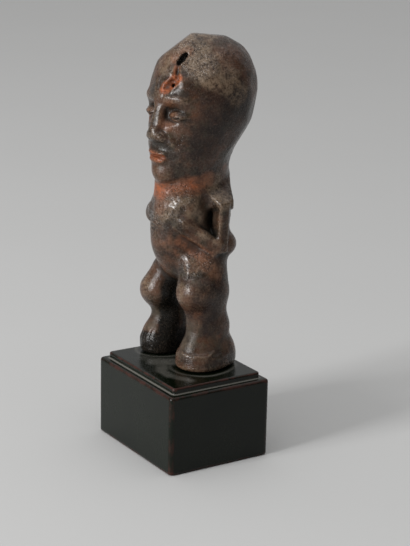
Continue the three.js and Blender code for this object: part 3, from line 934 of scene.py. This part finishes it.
def wood_finish(settings):
    """Dark, oily, crusted wood: patchy brown, dirt in the hollows, worn tan edges and pigment, with painted
    shade where parts shelter it and painted glints on the crust.
    """
    f = Finish("crusted_wood")
    worn, dirt, painted_shade, pale, crust = map(f.attribute, ("worn", "dirt", "painted_shade", "pale", "crust"))
    ochre, orange, soot_and_shade, violet, dusty = map(f.attribute, ("ochre", "orange", "soot_and_shade", "violet", "dusty"))
    cloud = f.noise(70, 4, 0.6)
    patch = f.noise(230, 5, 0.65)
    grain = f.noise(900, 4, 0.7)
    strokes = f.noise(420, 4, 0.65, (1, 1, 3.2))
    speck = f.noise(2600, 2, 0.6)
    unpainted = 1 - 0.5 * orange
    # Pale specks: a little dust everywhere, and on the crust mostly painted glints
    specks = f.band(speck - 0.06 * crust, 0.5, 0.68, 0, 0.5)
    colour = f.coats(
        settings.wood_dark,
        (f.band(cloud, 0.38, 0.64), settings.wood_warm),
        (f.band(patch, 0.45, 0.7, 0, 0.6), settings.wood_olive),
        (f.band(f.noise(150, 4, 0.6), 0.52, 0.7, 0, 0.5), settings.wood_violet),
        # Violet stain, and painted shade on the sides of the head
        (violet * f.band(patch, 0.3, 0.7, 0.85, 0.45), settings.violet_stain_and_shade),
        (dusty * f.band(patch, 0.3, 0.65, 0.3, 0.8), settings.olive_dust),
        (pale * f.band(patch + grain * 0.6, 0.55, 1, 0, 0.95), settings.worn_colour),
        (ochre * f.band(patch + grain, 0.65, 1.3, 0.2, 0.9), settings.ochre_colour),
        (worn * f.band(grain, 0.35, 0.62, 0, 0.36), settings.worn_colour),
        (orange * f.band(grain + patch, 0.75, 1.3, 0.15, 0.9), settings.orange_colour),
        (dirt * f.band(grain, 0.2, 0.6, 0, 0.85) * unpainted, settings.dirt_and_shade_colour),
        # Painted shade where other parts stand close in front of the skin
        (painted_shade * 0.6 * unpainted, settings.dirt_and_shade_colour),
        # Soot on the right foot's front, and painted shade on its inner side and between the legs
        (soot_and_shade * 0.97, settings.soot_and_shade_colour),
        (f.band(grain, 0.54, 0.74, 0, 0.22), settings.worn_colour),
        (f.band(grain, 0.46, 0.3, 0, 0.55), settings.dirt_and_shade_colour),
        # Painted glints on the crust, and a few pale dust specks elsewhere
        (specks * (0.1 + 0.9 * crust), settings.dust_and_sheen_colour),
    )
    rough = f.band(patch, 0.3, 0.7, 0.2, 0.3) + f.band(grain, 0.3, 0.7, -0.05, 0.07)
    matt = 0.1 * dirt + 0.12 * ochre + 0.16 * orange + 0.05 * painted_shade + 0.16 * dusty
    rough = rough + matt * (1 - 0.8 * crust) - 0.1 * crust - 0.04 * worn - 0.06 * soot_and_shade
    height = 0.5 * strokes + 0.28 * grain + 0.08 * speck - 0.3 * f.band(f.cells(520), 0.32, 0.05)
    height = height * (0.35 + 1.9 * crust)
    film = f.band(patch, 0.3, 0.6, 0.22, 0.46) + 0.5 * crust
    film = film * (1 - soot_and_shade) * (1 - 0.8 * violet) * (1 - 0.7 * dusty) * (1 - 0.5 * painted_shade)
    film = film * f.band(grain, 0.42, 0.62, 0.12, 1)
    return f.set(
        Base_Color=colour,
        Roughness=rough,
        Normal=f.bump(height, 0.0013, 0.85),
        Specular_IOR_Level=0.24,
        Coat_Weight=film,
        Coat_Roughness=0.27,
    )


def lacquer_finish(settings):
    """Black lacquer over a red-brown ground that shows where the edges are rubbed."""
    f = Finish("black_lacquer")
    edge, dirt, chip = map(f.attribute, ("edge", "dirt", "chip"))
    cloud = f.noise(45, 4, 0.6)
    brushed = f.noise(380, 3, 0.6, (1, 1, 0.2))
    fine = f.noise(1500, 3, 0.6)
    rubbed = edge * f.band(f.noise(120, 5, 0.7) + 0.12 * edge, 0.46, 0.7)
    colour = f.coats(
        settings.lacquer_dark,
        (f.band(cloud, 0.35, 0.7), settings.lacquer_light),
        (rubbed * 0.8, settings.ground_colour),
        (chip * 0.8, settings.chip_colour),
        (f.band(fine, 0.7, 0.8, 0, 0.2), settings.dust_and_sheen_colour),
        # Dirt in the hollows, with the painted reflection line and painted sheen on the top
        (dirt * 0.8, settings.dust_and_sheen_colour),
    )
    rough = f.band(cloud, 0.3, 0.7, 0.16, 0.26) + f.band(brushed, 0.4, 0.7, 0, 0.06) + 0.3 * rubbed
    height = 0.2 * brushed + 0.1 * fine + 0.7 * cloud - 0.6 * rubbed
    return f.set(
        Base_Color=colour,
        Roughness=rough,
        Normal=f.bump(height, 0.0001, 0.35),
        IOR=1.33,
    )


def floor_finish(settings):
    """Pale paper, a little cloudy."""
    f = Finish("studio_paper")
    tone = f.band(f.noise(6, 3, 0.5), 0.2, 0.8)
    colour = f.coats(settings.floor_colour, (tone * 0.08, (0.6, 0.6, 0.6, 1)))
    return f.set(Base_Color=colour, Roughness=0.85 + 0.05 * tone, Specular_IOR_Level=0.15)


# Settings, one group for each operator; their lengths are in metres
def number(name, default, description, **more):
    return FloatProperty(name=name, default=default, min=0, description=description, **more)


def length(name, default, description):
    return number(name, default, description, unit="LENGTH", precision=5)


def colour(name, default, description):
    return FloatVectorProperty(
        name=name, default=(*default, 1), size=4, min=0, max=1, subtype="COLOR", description=description
    )


class FigureSettings(bpy.types.PropertyGroup):
    """The carved figure's skin, relief and colours"""

    cell: length("Skin cell", 0.66 * MM, "Edge of the grid cells that the skin is made in")
    adze_spacing: length("Adze spacing", 12 * MM, "Least distance between two tool marks")
    adze_depth: length("Adze depth", 0.45 * MM, "Most that a tool mark moves the skin")
    crust_depth: length("Crust depth", 0.12 * MM, "Height of the bumps in the dried crust")
    pit_depth: length("Pit depth", 0.5 * MM, "Depth of the small pits")
    break_depth: length("Break depth", 0.5 * MM, "Height of the splinters at the broken places")
    ridge_height: length("Ridge height", 0.5 * MM, "Height of the raised edge across the left foot")
    seed: IntProperty(name="Seed", default=7, min=0, description="Seed of the tool marks' places")
    wood_dark: colour("Dark wood", (0.017, 0.0095, 0.0058), "The darker patches of the crust")
    wood_warm: colour("Warm wood", (0.07, 0.03, 0.0155), "The browner patches of the crust")
    wood_olive: colour("Olive wood", (0.04, 0.031, 0.017), "Patches that lean to olive")
    wood_violet: colour("Violet wood", (0.042, 0.022, 0.018), "Patches that lean to violet")
    worn_colour: colour("Worn wood", (0.2, 0.138, 0.09), "Ridges where the crust is rubbed off")
    # Violet stain below the knees, and painted shade on the sides of the head
    violet_stain_and_shade: colour("Violet stain", (0.013, 0.0078, 0.0072), "The stain below the knees")
    olive_dust: colour("Olive dust", (0.06, 0.044, 0.028), "Matt dust on the shins, feet and chest")
    # Soot on the right foot's front, and painted shade on its inner side and between the legs
    soot_and_shade_colour: colour("Soot", (0.0035, 0.0032, 0.0025), "Black on the right foot and between the legs")
    # Colour of the dirt, and also of the painted shade where parts shelter the skin
    dirt_and_shade_colour: colour("Dirt", (0.007, 0.006, 0.0045), "Dark dirt in the hollows")
    # Pale dust specks, and on the crust painted glints
    dust_and_sheen_colour: colour("Dust", (0.42, 0.38, 0.33), "Pale specks")
    ochre_colour: colour("Ochre", (0.2, 0.07, 0.03), "Ochre pigment")
    orange_colour: colour("Orange", (0.36, 0.08, 0.016), "Orange pigment")


class PlinthSettings(bpy.types.PropertyGroup):
    """The plinth's skin, edges, chips and lacquer"""

    cell: length("Skin cell", 0.7 * MM, "Edge of the grid cells that the skin is made in")
    corner_round: length("Corner round", 2.2 * MM, "Radius of the block's upright corners")
    edge_round: length("Edge round", 1.5 * MM, "Radius of the block's edges above and below")
    platform_rise: length("Platform rise", 3.3 * MM, "Height of the platform above the block's ledge")
    platform_inset: length("Platform inset", 3.6 * MM, "Width of the ledge")
    platform_round: length("Platform round", 0.9 * MM, "Radius of the platform's edges")
    chips: IntProperty(name="Chips", default=26, min=0, description="Number of small chips along the edges")
    seed: IntProperty(name="Seed", default=3, min=0, description="Seed of the chips' places")
    lacquer_dark: colour("Dark lacquer", (0.0012, 0.0028, 0.0008), "The black lacquer")
    lacquer_light: colour("Light lacquer", (0.0025, 0.0045, 0.0018), "Where the lacquer is hazed")
    ground_colour: colour("Ground", (0.042, 0.012, 0.008), "The red-brown ground under the lacquer")
    chip_colour: colour("Chips", (0.16, 0.12, 0.09), "The pale ground in the chips")
    # Dust on the lacquer, and the painted reflection line and painted sheen on its top
    dust_and_sheen_colour: colour("Dust", (0.13, 0.125, 0.11), "Dust on the lacquer")


class StudioSettings(bpy.types.PropertyGroup):
    """The studio's floor, light and camera"""

    floor_side: length("Floor side", 12, "Side of the square floor")
    floor_colour: colour("Floor", (0.52, 0.52, 0.515), "Colour of the floor")
    overhead: number("Overhead", 0.9, "Brightness of the dome straight overhead")
    backdrop: number("Backdrop", 0.42, "Brightness low down behind the figure")
    surround: number("Surround", 0.08, "Brightness low down on the other sides")
    key: number("Key light", 44, "Power of the key light, from the figure's front", unit="POWER")
    key_side: length("Key side", 0.55, "Side of the square key light")
    key_away: length("Key distance", 2, "Distance of the key light from the figure")
    top: number("Top light", 5, "Power of the light overhead", unit="POWER")
    top_side: length("Top side", 1.2, "Side of the square light overhead")
    top_away: length("Top distance", 2, "Distance of the light overhead from the figure")
    lens: number("Lens", 105.3, "Focal length in mm")
    horizon: length("Horizon", 30, "How far the camera sees")


# Operators
def cell_size(settings):
    return settings.cell / MM * 1


class FIGURE_OT_carve(bpy.types.Operator):
    """Carves the figure as one closed skin and gives it its worn, crusted wood"""

    bl_idname = "figure.carve"
    bl_label = "Carve the figure"

    def execute(self, context):
        settings = context.scene.figure_settings
        points, quads = carved(figure_form, cell_size(settings))
        points = figure_relief(points, quads, settings)
        finish = figure_finish(points, quads)
        placed = points * MM + np.array(STAND) * MM
        if placed[:, 2].min() < FIGURE_UNDERSIDE - 0.5 * MM:
            raise RuntimeError("the figure reaches below its place on the plinth")
        piece = skin_object("carved_figure", placed, quads, finish, wood_finish(settings))
        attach(piece, "root")
        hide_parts("figure")
        return {"FINISHED"}


class FIGURE_OT_plinth(bpy.types.Operator):
    """Makes the plinth with its rounded edges, chips and black lacquer"""

    bl_idname = "figure.plinth"
    bl_label = "Make the plinth"

    def execute(self, context):
        settings = context.scene.plinth_settings
        form = plinth_form(settings)
        cell = cell_size(settings)
        points, quads = skin(form, PLINTH_LOW - 2 * cell, PLINTH_HIGH + 2 * cell, cell)
        points = settled(form, points, cell)
        finish = plinth_finish(points, quads, plinth_chips(settings))
        piece = skin_object("lacquered_plinth", points * MM, quads, finish, lacquer_finish(settings))
        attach(piece, "root")
        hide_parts("plinth")
        return {"FINISHED"}


class FIGURE_OT_studio(bpy.types.Operator):
    """Sets the pale floor, the soft light and the camera"""

    bl_idname = "figure.studio"
    bl_label = "Set the studio"

    def execute(self, context):
        settings = context.scene.studio_settings
        floor(settings)
        dome(settings)
        soft_light("key_light", settings.key, settings.key_side, settings.key_away, KEY_FROM)
        soft_light("top_light", settings.top, settings.top_side, settings.top_away, TOP_FROM)
        camera(settings)
        context.scene.view_settings.view_transform = "Standard"
        return {"FINISHED"}


def floor(settings):
    """A flat square under the plinth, for the stage only."""
    half = settings.floor_side / 2
    mesh = bpy.data.meshes.new("studio_floor")
    corners = [(-half, -half, 0), (half, -half, 0), (half, half, 0), (-half, half, 0)]
    mesh.from_pydata(corners, [], [(0, 1, 2, 3)])
    mesh.materials.append(floor_finish(settings))
    piece = add_object("studio_floor", mesh)


def dome(settings):
    """The world's light: brightest overhead, pale behind the figure and dim low down elsewhere."""
    world = bpy.data.worlds.new("studio")
    world.use_nodes = True
    f = Tree(world.node_tree)
    towards = f.node("ShaderNodeTexCoord", {}, {}, "Generated")
    height = f.node("ShaderNodeSeparateXYZ", {}, [towards], "Z")
    behind = f.node("ShaderNodeVectorMath", {"operation": "DOT_PRODUCT"}, [towards, BEHIND], "Value")
    low = f.band(behind, 0.1, 0.8, settings.surround, settings.backdrop)
    high = f.band(height, 0.35, 0.9)
    light = low * (1 - high) + settings.overhead * high
    background = f.tree.nodes["Background"]
    f.feed(background.inputs["Strength"], light)
    f.feed(background.inputs["Color"], (1, 1, 1, 1))
    bpy.context.scene.world = world


def soft_light(name, power, side, away, towards):
    """A square area light in the direction given, aimed at the figure's chest."""
    lamp = bpy.data.lights.new(name, "AREA")
    lamp.shape = "SQUARE"
    lamp.size = side
    lamp.energy = power
    light = add_object(name, lamp)
    direction = Vector(towards).normalized()
    light.location = Vector(CHEST) + direction * away
    light.rotation_euler = direction.to_track_quat("Z", "Y").to_euler()


def camera(settings):
    """The camera, to the figure's front left and a little above it."""
    azimuth, elevation, roll = (math.radians(v) for v in CAMERA_ANGLES)
    back = Vector((
        math.sin(azimuth) * math.cos(elevation),
        -math.cos(azimuth) * math.cos(elevation),
        math.sin(elevation),
    ))
    level = Vector((math.cos(azimuth), math.sin(azimuth), 0))
    upright = back.cross(level)
    right = level * math.cos(roll) + upright * math.sin(roll)
    up = upright * math.cos(roll) - level * math.sin(roll)
    lens = bpy.data.cameras.new("camera")
    lens.lens = settings.lens
    lens.clip_end = settings.horizon
    view = add_object("camera", lens)
    turn = Matrix((right, up, back)).transposed().to_4x4()
    shift = sum((d * v * MM for d, v in zip((right, up, back), CAMERA_PLACE)), Vector())
    view.matrix_world = Matrix.Translation(shift) @ turn
    bpy.context.scene.camera = view


class FIGURE_PT_panel(bpy.types.Panel):
    """Lists the settings and the operators in the 3D view's sidebar"""

    bl_idname = "FIGURE_PT_panel"
    bl_label = "Carved figure"
    bl_space_type = "VIEW_3D"
    bl_region_type = "UI"
    bl_category = "Figure"

    def draw(self, context):
        for name, (group, operator) in STEPS.items():
            box = self.layout.box()
            for key in group.__annotations__:
                box.prop(getattr(context.scene, name), key)
            box.operator(operator.bl_idname)


# Each group of settings that the scene keeps, with the operator that uses it
STEPS = {
    "figure_settings": (FigureSettings, FIGURE_OT_carve),
    "plinth_settings": (PlinthSettings, FIGURE_OT_plinth),
    "studio_settings": (StudioSettings, FIGURE_OT_studio),
}
CLASSES = [kind for step in STEPS.values() for kind in step] + [FIGURE_PT_panel]


def register():
    for kind in CLASSES:
        bpy.utils.register_class(kind)
    for name, (group, _) in STEPS.items():
        setattr(bpy.types.Scene, name, bpy.props.PointerProperty(type=group))


def unregister():
    for name in STEPS:
        delattr(bpy.types.Scene, name)
    for kind in reversed(CLASSES):
        bpy.utils.unregister_class(kind)


def main():
    register()
    bpy.ops.figure.carve()
    bpy.ops.figure.plinth()
    bpy.ops.figure.studio()


if __name__ == "__main__":
    main()
